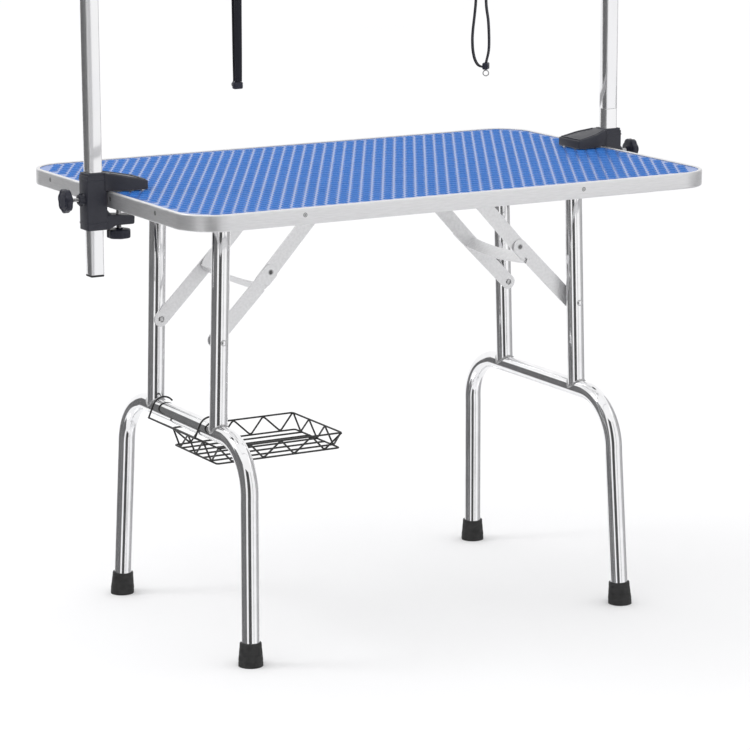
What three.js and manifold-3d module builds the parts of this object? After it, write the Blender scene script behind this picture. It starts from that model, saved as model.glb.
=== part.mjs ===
// Folding pet grooming table with a clamp-on overhead arm, two nooses and a wire basket.
// Millimetres, +Z up. The origin is on the floor under the middle of the table top, +X runs along
// the long side, and the -Y side is the front.
import * as THREE from 'three';
import { mergeVertices } from 'three/addons/utils/BufferGeometryUtils.js';
import Module from 'manifold-3d';

const wasm = await Module();
wasm.setup();

// ---- Driving dimensions ----
const GAP = 0.3; // between pieces that touch
const TABLE = { length: 914, width: 610, height: 705, corner: 62 };
const RIM = { height: 25, wall: 1.5, flange: 6, lip: 12 };
const BOARD_TOP = 700.2;
const MAT_TOP = 703.3;
const UNDERSIDE = TABLE.height - RIM.height + RIM.wall + GAP;

const TUBE = { radius: 14, bore: 12.6 };
const HINGE = { x: 315, z: 662, pinRadius: 3, holeRadius: 3.3 };
const LEG_LEAN = Math.atan(0.0302); // each leg frame leans outward by this angle
const LEG = { uprightY: 110, crossDrop: 327, bendRadius: 80, kneeY: 217, footY: 229 };
const BRACE_DROP = 185; // from the leg hinge down to the brace bolt

const LINK = { width: 24, thickness: 3, eyeRadius: 5, studRadius: 4.7 };
const BRACE_PIVOT = { x: 140, z: 664 };
const KNEE = { x: 224.5, z: 572.5 };
const LOWER_LINK_Y = 94.2; // middle of the outer layer of links
const UPPER_LINK_Y = 90.9; // middle of the inner layer of links
const CROSS_PLATE = { reach: 27, width: 20, thickness: 2.5, sag: 6 };

const POST = { side: 22, wall: 1.5, x: 473.5, top: 1447 };
const POST_BOTTOM = { left: 577.5, right: 632 };
const CLAMP_Y = { left: 2, right: 30 };
const CLAMP = { bottom: 646, top: 733, halfDepth: 16.2, halfWidth: 15, jawTip: 82, jawGap: 0.5 };
const JAW_SCREW = { u: 41, radius: 4, knobRadius: 18.5, knobBottom: 630, knobTop: 643.6 };
const LOCK = { z: 693, radius: 3, bossRadius: 8, bossEnd: -26, knobInner: -40, knobOuter: -51 };
const SECTION_SEAM = { left: 1060, right: 765 };
const BAR_Z = 1462;
const STRAP = { width: 12, thickness: 1.8, overBar: 13.8, squareness: 0.42 };

const WIRE = 1.5; // radius of the basket wire
const BASKET = { halfWidth: 82, depth: 215, top: -32, bottom: -58, inset: 15 };

// ---- Materials ----
const finish = (color, metalness, roughness) =>
  new THREE.MeshStandardMaterial({ color, metalness, roughness });
const plywood = () => finish(0x8a6a46, 0, 0.8);
const matBlue = () => finish(0x3a78cf, 0, 0.4);
const aluminium = () => finish(0xd6d6d9, 0.9, 0.35);
const chrome = () => finish(0xc9cbce, 1, 0.12);
const zinc = () => finish(0xd9d9d6, 0.85, 0.45);
const steel = () => finish(0x9a9a98, 0.9, 0.4);
const blackPlastic = () => finish(0x2b2b30, 0, 0.5);
const rubber = () => finish(0x232323, 0, 0.8);
const blackWire = () => finish(0x17171a, 0.2, 0.4);
const webbing = () => finish(0x15151c, 0, 0.9);

// ---- Solid helpers ----
function toSolid(geometry) {
  const bare = geometry.clone();
  bare.deleteAttribute('normal');
  bare.deleteAttribute('uv');
  const merged = mergeVertices(bare, 1e-4);
  const mesh = new wasm.Mesh({
    numProp: 3,
    vertProperties: new Float32Array(merged.attributes.position.array),
    triVerts: new Uint32Array(merged.index.array),
  });
  return new wasm.Manifold(mesh);
}

function toGeometry(solid) {
  const mesh = solid.getMesh();
  const geometry = new THREE.BufferGeometry();
  geometry.setAttribute('position', new THREE.BufferAttribute(new Float32Array(mesh.vertProperties), 3));
  geometry.setIndex(new THREE.BufferAttribute(new Uint32Array(mesh.triVerts), 1));
  geometry.computeVertexNormals();
  return geometry;
}

const joined = (...solids) => solids.reduce((sum, solid) => sum.add(solid));

function boxSolid(low, high) {
  const size = high.map((value, axis) => value - low[axis]);
  const box = new THREE.BoxGeometry(...size);
  box.translate(...low.map((value, axis) => value + size[axis] / 2));
  return toSolid(box);
}

// A cylinder between two heights on the Z axis, turned onto the X or Y axis when asked.
function rodSolid(radius, from, to, axis = 'z', sides = 12) {
  const rod = new THREE.CylinderGeometry(radius, radius, to - from, sides);
  rod.rotateX(Math.PI / 2);
  rod.translate(0, 0, (from + to) / 2);
  if (axis === 'y') rod.rotateX(-Math.PI / 2);
  if (axis === 'x') rod.rotateY(Math.PI / 2);
  return toSolid(rod);
}

function roundedRectangle(width, depth, radius) {
  const [w, d] = [width / 2, depth / 2];
  const shape = new THREE.Shape();
  shape.absarc(w - radius, d - radius, radius, 0, Math.PI / 2);
  shape.absarc(radius - w, d - radius, radius, Math.PI / 2, Math.PI);
  shape.absarc(radius - w, radius - d, radius, Math.PI, 1.5 * Math.PI);
  shape.absarc(w - radius, radius - d, radius, 1.5 * Math.PI, 2 * Math.PI);
  return shape;
}

function slabGeometry(shape, from, to, curveSegments = 5) {
  const slab = new THREE.ExtrudeGeometry(shape, { depth: to - from, bevelEnabled: false, curveSegments });
  slab.translate(0, 0, from);
  return slab;
}

// A flat outline drawn in X and Z, extruded along Y between two planes.
function plateSolid(shape, fromY, toY, curveSegments = 5) {
  const plate = new THREE.ExtrudeGeometry(shape, { depth: toY - fromY, bevelEnabled: false, curveSegments });
  plate.rotateX(Math.PI / 2);
  plate.translate(0, toY, 0);
  return toSolid(plate);
}

const polygon = (points) => new THREE.Shape(points.map(([x, y]) => new THREE.Vector2(x, y)));

// A curve whose steps fall exactly on the listed stations, so straight runs take a single step.
class StationCurve extends THREE.Curve {
  constructor(points) {
    super();
    this.points = points;
  }

  getPoint(t, target = new THREE.Vector3()) {
    const place = t * (this.points.length - 1);
    const index = Math.min(Math.floor(place), this.points.length - 2);
    return target.lerpVectors(this.points[index], this.points[index + 1], place - index);
  }

  getPointAt(u, target) {
    return this.getPoint(u, target);
  }

  getTangentAt(u, target = new THREE.Vector3()) {
    const index = Math.round(u * (this.points.length - 1));
    const before = this.points[Math.max(index - 1, 0)];
    const after = this.points[Math.min(index + 1, this.points.length - 1)];
    return target.subVectors(after, before).normalize();
  }
}

function sweepGeometry(shape, points, curveSegments) {
  return new THREE.ExtrudeGeometry(shape, {
    steps: points.length - 1,
    extrudePath: new StationCurve(points),
    curveSegments,
  });
}

const wireSolid = (points) => {
  const section = new THREE.Shape();
  section.absarc(0, 0, WIRE, 0, 2 * Math.PI);
  return toSolid(sweepGeometry(section, points.map((point) => new THREE.Vector3(...point)), 2));
};

// ---- The assembly ----
const table = new THREE.Group();

function place(parent, name, shape, material) {
  const geometry = shape.isBufferGeometry ? shape : toGeometry(shape);
  const mesh = new THREE.Mesh(geometry, material);
  mesh.name = name;
  parent.add(mesh);
  return mesh;
}

// ---- Table top: board, mat and rim ----
function insetSlab(inset, from, to) {
  const { length, width, corner } = TABLE;
  const outline = roundedRectangle(length - 2 * inset, width - 2 * inset, corner - inset);
  return slabGeometry(outline, from, to);
}

function rimSolid() {
  const base = TABLE.height - RIM.height;
  const outside = toSolid(insetSlab(0, base, TABLE.height));
  const channel = toSolid(insetSlab(RIM.wall, base + RIM.wall, TABLE.height - RIM.wall + 0.1));
  const topOpening = toSolid(insetSlab(RIM.flange, TABLE.height - 5, TABLE.height + 5));
  const bottomOpening = toSolid(insetSlab(RIM.lip, base - 5, base + 5));
  return outside.subtract(channel).subtract(topOpening).subtract(bottomOpening);
}

function makeTop() {
  const inset = RIM.wall + GAP;
  place(table, 'table_board', insetSlab(inset, UNDERSIDE, BOARD_TOP), plywood());
  place(table, 'rubber_mat', insetSlab(inset, BOARD_TOP + GAP, MAT_TOP), matBlue());
  place(table, 'edge_rim', rimSolid(), aluminium());
}

// ---- Leg frames ----
// Each side is drawn for the right-hand end of the table and turned half round for the left.
const frontRear = (side, sign) => ((side === 'right') === (sign < 0) ? 'front' : 'rear');

function earShape() {
  const shape = new THREE.Shape();
  const top = UNDERSIDE - GAP - HINGE.z;
  shape.moveTo(18, top);
  shape.lineTo(-18, top);
  shape.lineTo(-11.5, -3.5);
  shape.absarc(0, 0, 12, Math.PI * 1.1, Math.PI * 1.9);
  shape.lineTo(18, top);
  return shape;
}

function hingeRailSolid() {
  const top = UNDERSIDE - GAP - HINGE.z;
  let rail = boxSolid([-21, -150, top - 1.7], [21, 150, top]);
  for (const sign of [-1, 1]) {
    for (const offset of [-16.3, 16.3]) {
      const middle = sign * LEG.uprightY + offset;
      rail = rail.add(plateSolid(earShape(), middle - 1, middle + 1));
    }
  }
  return rail.subtract(rodSolid(HINGE.holeRadius, -200, 200, 'y'));
}

// Along Y, head outward: a rivet through the ears and the tube.
function hingePinGeometry() {
  const profile = [
    [0, -20.4], [5, -20.4], [5, -17.6], [HINGE.pinRadius, -17.6],
    [HINGE.pinRadius, 17.6], [6, 17.6], [6, 19.4], [4, 21], [0, 21],
  ];
  return new THREE.LatheGeometry(profile.map(([r, y]) => new THREE.Vector2(r, y)), 10);
}

const ringShape = (outer, inner) => {
  const shape = new THREE.Shape();
  shape.absarc(0, 0, outer, 0, 2 * Math.PI);
  const hole = new THREE.Path();
  hole.absarc(0, 0, inner, 0, 2 * Math.PI, true);
  shape.holes.push(hole);
  return shape;
};

// The U-shaped lower tube: a foot, a bend, the cross tube, a bend, a foot.
function lowerTubePoints() {
  const { bendRadius, crossDrop, kneeY, footY } = LEG;
  const kneeZ = -crossDrop - bendRadius;
  const footZ = -HINGE.z / Math.cos(LEG_LEAN) + 7;
  const splay = Math.atan((footY - kneeY) / (kneeZ - footZ));
  const steps = 7;
  const half = [new THREE.Vector3(0, footY, footZ)];
  for (let step = 0; step <= steps; step++) {
    const angle = (step / steps) * (Math.PI / 2 + splay) - splay;
    const y = kneeY - bendRadius + bendRadius * Math.cos(angle);
    const z = kneeZ + bendRadius * Math.sin(angle);
    half.push(new THREE.Vector3(0, y, z));
  }
  const mirrored = half.map((point) => new THREE.Vector3(0, -point.y, point.z)).reverse();
  return [...half, ...mirrored];
}

function uprightSolid() {
  const tube = toSolid(slabGeometry(ringShape(TUBE.radius, TUBE.bore), -LEG.crossDrop, 9, 8));
  const saddle = rodSolid(TUBE.radius + GAP + 0.2, -40, 40, 'y', 20).translate([0, 0, -LEG.crossDrop]);
  const hingeHole = rodSolid(HINGE.holeRadius, -40, 40, 'y');
  const boltHole = hingeHole.translate([0, 0, -BRACE_DROP]);
  return tube.subtract(saddle).subtract(hingeHole).subtract(boltHole);
}

// A tapered cap over the tube's end, cut flat where it stands on the floor.
function footSolid() {
  const profile = [
    [0, -14], [19, -14], [19, 2], [16.5, 29], [TUBE.radius + GAP, 29], [TUBE.radius + GAP, -GAP], [0, -GAP],
  ];
  const foot = new THREE.LatheGeometry(profile.map(([r, y]) => new THREE.Vector2(r, y)), 18);
  foot.rotateX(Math.PI / 2);
  return toSolid(foot);
}

// Through the upright and flush in the lower link's eye, along +Y outward.
function braceBoltGeometry() {
  const inner = LOWER_LINK_Y - LINK.thickness / 2 - LEG.uprightY;
  const profile = [
    [0, inner], [LINK.studRadius, inner], [LINK.studRadius, inner + LINK.thickness],
    [HINGE.pinRadius, inner + LINK.thickness], [HINGE.pinRadius, 14.4], [7, 14.4], [7, 19], [0, 19],
  ];
  return new THREE.LatheGeometry(profile.map(([r, y]) => new THREE.Vector2(r, y)), 10);
}

const hingePoint = new THREE.Vector2(HINGE.x, HINGE.z);
const boltPoint = hingePoint.clone().add(
  new THREE.Vector2(Math.sin(LEG_LEAN), -Math.cos(LEG_LEAN)).multiplyScalar(BRACE_DROP),
);
const kneePoint = new THREE.Vector2(KNEE.x, KNEE.z);
const pivotPoint = new THREE.Vector2(BRACE_PIVOT.x, BRACE_PIVOT.z);

// A bar with round ends along its own X axis, from one pivot at the origin to the other.
function barShape(length, tail, notch) {
  const half = LINK.width / 2;
  const shape = new THREE.Shape();
  shape.moveTo(0, -half);
  shape.lineTo(length + tail, -half);
  shape.absarc(length + tail, 0, half, -Math.PI / 2, Math.PI / 2);
  if (notch) {
    shape.lineTo(length - 18, half);
    shape.lineTo(length - 20, half - 7);
    shape.lineTo(length - 25, half - 7);
    shape.lineTo(length - 27, half);
  }
  shape.lineTo(0, half);
  shape.absarc(0, 0, half, Math.PI / 2, Math.PI * 1.5);
  return shape;
}

// Draws a bar from one pivot point to another in the side view and gives it its Y layer.
function linkSolid(from, to, tail, notch, y) {
  const run = to.clone().sub(from);
  const flat = plateSolid(barShape(run.length(), tail, notch), y - LINK.thickness / 2, y + LINK.thickness / 2);
  const eye = rodSolid(LINK.eyeRadius, y - 5, y + 5, 'y');
  const turn = (-run.angle() * 180) / Math.PI;
  return flat.subtract(eye).rotate([0, turn, 0]).translate([from.x, 0, from.y]);
}

// The two upper links and the plate that joins their tails, which a hand lifts to fold the legs.
function upperBraceSolid() {
  const { reach, width, thickness, sag } = CROSS_PLATE;
  const outline = new THREE.Shape();
  const end = UPPER_LINK_Y;
  outline.moveTo(-end, -width / 2);
  outline.quadraticCurveTo(0, -width / 2 - 2 * sag, end, -width / 2);
  outline.lineTo(end, width / 2);
  outline.quadraticCurveTo(0, width / 2 - 2 * sag, -end, width / 2);
  const plate = new THREE.ExtrudeGeometry(outline, { depth: thickness, bevelEnabled: false, curveSegments: 8 });
  plate.rotateZ(Math.PI / 2);
  plate.rotateY(Math.PI / 2);
  const run = kneePoint.clone().sub(pivotPoint);
  const turn = (-run.angle() * 180) / Math.PI;
  const crossPlate = toSolid(plate)
    .translate([run.length() + reach, 0, 0])
    .rotate([0, turn, 0])
    .translate([pivotPoint.x, 0, pivotPoint.y]);
  const links = [-1, 1].map((sign) => linkSolid(pivotPoint, kneePoint, 20, false, sign * UPPER_LINK_Y));
  return joined(crossPlate, ...links);
}

// A flat foot against the board, an ear and a stud that fills the upper link's eye.
function braceBracketSolid(sign) {
  const top = UNDERSIDE - GAP;
  const earY = UPPER_LINK_Y - LINK.thickness / 2 - GAP;
  const ear = polygon([[-15, top], [-9, BRACE_PIVOT.z - 9], [9, BRACE_PIVOT.z - 9], [15, top]]);
  const bracket = joined(
    plateSolid(ear, earY - 3, earY),
    boxSolid([-15, earY - 28, top - 2.5], [15, earY, top]),
    rodSolid(LINK.studRadius, earY - 1, UPPER_LINK_Y + LINK.thickness / 2, 'y').translate([0, 0, BRACE_PIVOT.z]),
  );
  return (sign < 0 ? bracket.mirror([0, 1, 0]) : bracket).translate([BRACE_PIVOT.x, 0, 0]);
}

function makeLegSide(side) {
  const end = new THREE.Group();
  end.rotation.z = side === 'left' ? Math.PI : 0;
  table.add(end);

  const rail = place(end, `${side}_hinge_rail`, hingeRailSolid(), zinc());
  rail.position.set(HINGE.x, 0, HINGE.z);

  const frame = new THREE.Group();
  frame.position.set(HINGE.x, 0, HINGE.z);
  frame.rotation.y = -LEG_LEAN;
  end.add(frame);
  const tubePoints = lowerTubePoints();
  const lowerTube = sweepGeometry(ringShape(TUBE.radius, TUBE.bore), tubePoints, 8);
  place(frame, `${side}_lower_tube`, lowerTube, chrome());

  for (const sign of [-1, 1]) {
    const name = (piece) => `${side}_${frontRear(side, sign)}_${piece}`;

    const upright = place(frame, name('upright'), uprightSolid(), chrome());
    upright.position.y = sign * LEG.uprightY;

    const pin = place(end, name('hinge_pin'), hingePinGeometry(), steel());
    pin.position.set(HINGE.x, sign * LEG.uprightY, HINGE.z);
    pin.rotation.z = sign < 0 ? Math.PI : 0;

    const bolt = place(end, name('brace_bolt'), braceBoltGeometry(), steel());
    bolt.position.set(boltPoint.x, sign * LEG.uprightY, boltPoint.y);
    bolt.rotation.z = sign < 0 ? Math.PI : 0;

    place(end, name('brace_bracket'), braceBracketSolid(sign), zinc());
    const lowerLink = linkSolid(boltPoint, kneePoint, 0, true, sign * LOWER_LINK_Y);
    place(end, name('lower_link'), lowerLink, zinc());

    const footTurn = new THREE.Group();
    const tip = tubePoints[0];
    const above = tubePoints[1];
    const footLean = Math.atan2(tip.y - above.y, above.z - tip.z);
    footTurn.position.set(0, sign * tip.y, tip.z);
    footTurn.rotation.x = sign * footLean;
    frame.add(footTurn);
    footTurn.updateWorldMatrix(true, false);
    const world = footTurn.matrixWorld;
    const tipped = footSolid().transform(world.elements.slice());
    const trimmed = tipped.intersect(boxSolid([-600, -600, 0], [600, 600, 100]));
    place(table, name('foot_cap'), trimmed, rubber());
  }
  place(end, `${side}_upper_brace`, upperBraceSolid(), zinc());
}

// ---- Wire basket on the left cross tube ----
// Drawn round the cross tube's axis, with X pointing under the table.
function basketSolid() {
  const { halfWidth, depth, top, bottom, inset } = BASKET;
  const far = inset + depth;
  const wires = [];
  const hookArc = [];
  for (let step = 0; step <= 5; step++) {
    const angle = ((38 + step * 23) * Math.PI) / 180;
    hookArc.push([19.5 * Math.cos(angle), 0, 20 * Math.sin(angle)]);
  }
  for (const y of [-halfWidth, halfWidth]) {
    wires.push([...hookArc, [-26, 0, -11]].map(([x, , z]) => [x, y, z]));
    wires.push([[-26, y * 0.6, -11], [inset, y * 0.6, top]]);
  }
  wires.push([[-26, -halfWidth - 1, -11], [-26, halfWidth + 1, -11]]);
  for (const [z, width] of [[top, halfWidth], [bottom, halfWidth - 8]]) {
    wires.push([[inset - 1, -width, z], [far + 1, -width, z]]);
    wires.push([[inset - 1, width, z], [far + 1, width, z]]);
    wires.push([[inset, -width - 1, z], [inset, width + 1, z]]);
    wires.push([[far, -width - 1, z], [far, width + 1, z]]);
  }
  for (const x of [inset, far]) {
    const teeth = [];
    for (let step = 0; step <= 6; step++) {
      const y = -halfWidth + (step * halfWidth) / 3;
      teeth.push([x, step % 2 ? y : y * 0.97, step % 2 ? bottom : top]);
    }
    wires.push(teeth);
  }
  for (const side of [-1, 1]) {
    const teeth = [];
    for (let step = 0; step <= 8; step++) {
      const low = step % 2;
      teeth.push([inset + (step * depth) / 8, side * (low ? halfWidth - 8 : halfWidth), low ? bottom : top]);
    }
    wires.push(teeth);
  }
  for (const y of [-50, -25, 0, 25, 50]) {
    wires.push([[inset - 1, y, bottom], [far + 1, y, bottom]]);
  }
  return joined(...wires.map(wireSolid));
}

function makeBasket() {
  const basket = place(table, 'wire_basket', basketSolid(), blackWire());
  basket.position.set(
    -HINGE.x - LEG.crossDrop * Math.sin(LEG_LEAN),
    0,
    HINGE.z - LEG.crossDrop * Math.cos(LEG_LEAN),
  );
}

// ---- Table clamps ----
// Drawn round the post's axis, with X pointing towards the table.
function clampSolid() {
  const { bottom, top, halfDepth, halfWidth, jawTip, jawGap } = CLAMP;
  const seat = TABLE.height + jawGap;
  const body = boxSolid([-16.5, -halfWidth, bottom], [halfDepth, halfWidth, top]);
  const jawSide = polygon([
    [-16.5, seat], [jawTip, seat], [jawTip, seat + 10], [48, seat + 14], [18, seat + 21.5], [-16.5, seat + 21.5],
  ]);
  const jawPlan = polygon([
    [-16.5, -16], [14, -19], [42, -31], [jawTip, -31], [jawTip, 31], [42, 31], [14, 19], [-16.5, 16],
  ]);
  const jaw = plateSolid(jawSide, -40, 40).intersect(toSolid(slabGeometry(jawPlan, 600, 800)));
  const lowerJaw = polygon([[0, bottom], [18, bottom], [30, 652], [60, 652], [61, 663], [20, 668], [0, 668]]);
  const socket = POST.side / 2 + GAP;
  const boss = rodSolid(LOCK.bossRadius, LOCK.bossEnd, -10, 'x').translate([0, 0, LOCK.z]);
  return joined(body, jaw, plateSolid(lowerJaw, -14.5, 14.5), boss)
    .subtract(boxSolid([-socket, -socket, 600], [socket, socket, 800]))
    .subtract(rodSolid(LOCK.radius + GAP, -60, 0, 'x').translate([0, 0, LOCK.z]))
    .subtract(rodSolid(4.8, -17.5, 0, 'x').translate([0, 0, LOCK.z]))
    .subtract(rodSolid(JAW_SCREW.radius + GAP, 640, 690).translate([JAW_SCREW.u, 0, 0]));
}

// A knob with seven lobes round its rim, between two heights.
function knobSolid(radius, from, to) {
  const shape = new THREE.Shape();
  const lobes = 7;
  const pointsPerLobe = 6;
  for (let step = 0; step < lobes * pointsPerLobe; step++) {
    const angle = (step / (lobes * pointsPerLobe)) * 2 * Math.PI;
    const reach = radius - 1.4 + 1.4 * Math.cos(lobes * angle);
    const point = [reach * Math.cos(angle), reach * Math.sin(angle)];
    if (step === 0) shape.moveTo(...point);
    else shape.lineTo(...point);
  }
  return toSolid(slabGeometry(shape, from, to));
}

function makeClamp(side) {
  const clamp = new THREE.Group();
  clamp.position.set(side === 'left' ? -POST.x : POST.x, CLAMP_Y[side], 0);
  clamp.rotation.z = side === 'left' ? 0 : Math.PI;
  table.add(clamp);
  place(clamp, `${side}_clamp`, clampSolid(), blackPlastic());

  const padTop = UNDERSIDE - GAP;
  const pad = place(clamp, `${side}_jaw_pad`, rodSolid(9, padTop - 6, padTop, 'z', 20), steel());
  pad.position.x = JAW_SCREW.u;
  const jawScrew = joined(
    knobSolid(JAW_SCREW.knobRadius, JAW_SCREW.knobBottom, JAW_SCREW.knobTop),
    rodSolid(6.5, JAW_SCREW.knobTop - 1, 649),
    rodSolid(JAW_SCREW.radius, JAW_SCREW.knobTop - 1, padTop - 6 - GAP),
  );
  const screw = place(clamp, `${side}_jaw_screw`, jawScrew, blackPlastic());
  screw.position.x = JAW_SCREW.u;

  const postFace = -POST.side / 2 - GAP;
  const lockPad = place(clamp, `${side}_lock_pad`, rodSolid(4.5, postFace - 2, postFace, 'x'), steel());
  lockPad.position.z = LOCK.z;
  const lockKnob = knobSolid(JAW_SCREW.knobRadius, LOCK.knobOuter, LOCK.knobInner).rotate([0, 90, 0]);
  const lockScrew = joined(
    lockKnob,
    rodSolid(6, LOCK.knobInner - 1, LOCK.knobInner + 4, 'x'),
    rodSolid(LOCK.radius, LOCK.knobInner - 1, postFace - 2 - GAP, 'x'),
  );
  const lock = place(clamp, `${side}_lock_screw`, lockScrew, blackPlastic());
  lock.position.z = LOCK.z;
}

// ---- Overhead arm ----
function squareTube(from, to) {
  const half = POST.side / 2;
  const bore = half - POST.wall;
  const shape = polygon([[-half, -half], [half, -half], [half, half], [-half, half]]);
  const hole = new THREE.Path([[-bore, -bore], [-bore, bore], [bore, bore], [bore, -bore]]
    .map(([x, y]) => new THREE.Vector2(x, y)));
  shape.holes.push(hole);
  return slabGeometry(shape, from, to);
}

function makePost(side) {
  const post = new THREE.Group();
  post.position.set(side === 'left' ? -POST.x : POST.x, CLAMP_Y[side], 0);
  table.add(post);
  const seam = SECTION_SEAM[side];
  const bottom = POST_BOTTOM[side];
  place(post, `${side}_post_lower`, squareTube(bottom, seam), chrome());
  place(post, `${side}_post_upper`, squareTube(seam + GAP, POST.top), chrome());
  const half = POST.side / 2;
  const plug = half - POST.wall - GAP;
  const cap = joined(
    boxSolid([-half, -half, bottom - 3.3], [half, half, bottom - GAP]),
    boxSolid([-plug, -plug, bottom - 1], [plug, plug, bottom + 12]),
  );
  place(post, `${side}_post_cap`, cap, blackPlastic());
}

// A moulded corner with a socket for the post below it and one for the bar beside it, along +X.
function cornerSolid() {
  const outer = 14.5;
  const socket = 11.7;
  const blocks = joined(
    boxSolid([-outer, -outer, BAR_Z - 46], [outer, outer, BAR_Z + outer]),
    boxSolid([-outer, -outer, BAR_Z - outer], [46, outer, BAR_Z + outer]),
  );
  return blocks
    .subtract(boxSolid([-socket, -socket, BAR_Z - 60], [socket, socket, POST.top + GAP]))
    .subtract(boxSolid([-9, -socket, BAR_Z - 11.3], [60, socket, BAR_Z + 11.3]));
}

const barSkew = Math.atan2(CLAMP_Y.right - CLAMP_Y.left, 2 * POST.x);
const barMiddleY = (CLAMP_Y.right + CLAMP_Y.left) / 2;

function makeOverheadBar() {
  const arm = new THREE.Group();
  arm.position.y = barMiddleY;
  arm.rotation.z = barSkew;
  table.add(arm);
  const reach = POST.x / Math.cos(barSkew);
  const bar = squareTube(-(reach - 8), reach - 8);
  bar.rotateY(Math.PI / 2);
  bar.translate(0, 0, BAR_Z);
  place(arm, 'overhead_bar', bar, chrome());
  const left = place(arm, 'left_bar_corner', cornerSolid(), blackPlastic());
  left.position.x = -reach;
  const right = place(arm, 'right_bar_corner', cornerSolid(), blackPlastic());
  right.position.x = reach;
  right.rotation.z = Math.PI;
}

// ---- Nooses ----
// One strap hangs over the bar and both its ends go into the slider at the bottom. Each run lists
// [distance behind the noose's own upright line, height], and the strap is turned about that line
// by the time it comes down to hand height.
const SLIDER = { width: 15, depth: 9, height: 11 };
const TWIST = { top: 1400, bottom: 1040, longestStep: 70 };
const NOOSES = {
  left: {
    x: -224,
    turn: 0,
    slider: { behind: 0, bottom: 842.5 },
    ring: { behind: 10.5, z: 849, turn: 0 },
    rise: [[-3, 854], [-4, 900], [-5, 980], [-8, 1120], [-12, 1300], [-13.8, 1420]],
    fall: [[13.8, 1420], [12, 1300], [8, 1120], [5, 980], [4, 900], [3, 854]],
  },
  right: {
    x: 224.5,
    turn: 0.76,
    slider: { behind: -6, bottom: 845 },
    ring: { behind: -6, z: 839, turn: -1.25 },
    rise: [[-6.5, 856.5], [-11, 880], [-10, 920], [-5.9, 955], [-8, 1010], [-11.5, 1150], [-13.8, 1420]],
    fall: [
      [13.8, 1420], [12, 1150], [10.5, 1010], [11, 955], [16, 905], [16.4, 885],
      [15.2, 872], [12.5, 861], [8.5, 853.5], [4, 850], [-1, 848.8],
    ],
  },
};

function subdivided(run) {
  const points = [];
  for (let index = 0; index < run.length - 1; index++) {
    const [from, to] = [run[index], run[index + 1]];
    const steps = Math.ceil(Math.abs(to[1] - from[1]) / TWIST.longestStep);
    for (let step = 0; step < steps; step++) {
      const share = step / steps;
      points.push([from[0] + (to[0] - from[0]) * share, from[1] + (to[1] - from[1]) * share]);
    }
  }
  points.push(run[run.length - 1]);
  return points;
}

function strapGeometry(noose) {
  const over = [];
  const bulge = (value) => Math.sign(value) * STRAP.overBar * Math.abs(value) ** STRAP.squareness;
  for (let step = 1; step < 12; step++) {
    const angle = Math.PI - (step / 12) * Math.PI;
    over.push([bulge(Math.cos(angle)), BAR_Z + bulge(Math.sin(angle))]);
  }
  const route = [...subdivided(noose.rise), ...over, ...subdivided(noose.fall)];
  const section = new THREE.Shape();
  section.absellipse(0, 0, STRAP.width / 2, STRAP.thickness / 2, 0, 2 * Math.PI);
  const strap = sweepGeometry(section, route.map(([y, z]) => new THREE.Vector3(0, y, z)), 4);
  const positions = strap.attributes.position;
  const up = new THREE.Vector3(0, 0, 1);
  const point = new THREE.Vector3();
  for (let index = 0; index < positions.count; index++) {
    point.fromBufferAttribute(positions, index);
    const share = 1 - THREE.MathUtils.smoothstep(point.z, TWIST.bottom, TWIST.top);
    point.applyAxisAngle(up, noose.turn * share);
    positions.setXYZ(index, point.x, point.y, point.z);
  }
  return strap;
}

function makeNoose(side) {
  const noose = NOOSES[side];
  const middleY = barMiddleY + noose.x * Math.tan(barSkew);
  const strap = place(table, `${side}_noose_strap`, strapGeometry(noose), webbing());
  strap.position.set(noose.x, middleY, 0);

  const hanging = new THREE.Group();
  hanging.position.set(noose.x, middleY, 0);
  hanging.rotation.z = noose.turn;
  table.add(hanging);
  const { behind, bottom } = noose.slider;
  const slider = boxSolid(
    [-SLIDER.width / 2, behind - SLIDER.depth / 2, bottom],
    [SLIDER.width / 2, behind + SLIDER.depth / 2, bottom + SLIDER.height],
  );
  place(hanging, `${side}_noose_slider`, slider, blackPlastic());

  const hoop = new THREE.TorusGeometry(4.5, 1, 5, 12);
  hoop.rotateX(Math.PI / 2);
  const ring = place(hanging, `${side}_noose_ring`, hoop, steel());
  ring.position.set(0, noose.ring.behind, noose.ring.z);
  ring.rotation.z = noose.ring.turn;
}

makeTop();
for (const side of ['left', 'right']) {
  makeLegSide(side);
  makeClamp(side);
  makePost(side);
  makeNoose(side);
}
makeBasket();
makeOverheadBar();

export default table;
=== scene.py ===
import math

import bmesh
import bpy
from mathutils import Matrix, Vector


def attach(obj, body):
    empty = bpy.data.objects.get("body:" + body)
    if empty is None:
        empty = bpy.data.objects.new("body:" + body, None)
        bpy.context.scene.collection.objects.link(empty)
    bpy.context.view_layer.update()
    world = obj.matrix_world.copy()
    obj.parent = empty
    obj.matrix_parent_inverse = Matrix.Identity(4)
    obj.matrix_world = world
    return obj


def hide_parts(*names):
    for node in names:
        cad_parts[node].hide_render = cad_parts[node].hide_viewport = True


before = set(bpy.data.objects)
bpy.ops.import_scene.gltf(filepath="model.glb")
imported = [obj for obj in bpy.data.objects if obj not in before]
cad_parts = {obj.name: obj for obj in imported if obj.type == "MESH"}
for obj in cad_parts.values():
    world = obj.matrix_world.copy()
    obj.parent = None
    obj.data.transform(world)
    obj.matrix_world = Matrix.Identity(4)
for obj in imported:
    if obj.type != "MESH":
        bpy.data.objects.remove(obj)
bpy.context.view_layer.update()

# The table is drawn in millimetres, in the frame of the CAD part: +X along the top, -Y the front,
# +Z up, with the origin on the floor under the middle of the top. Pieces are scaled to metres last.
MM = 0.001
LEFT, RIGHT = "left", "right"
SIDES = (LEFT, RIGHT)

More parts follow.
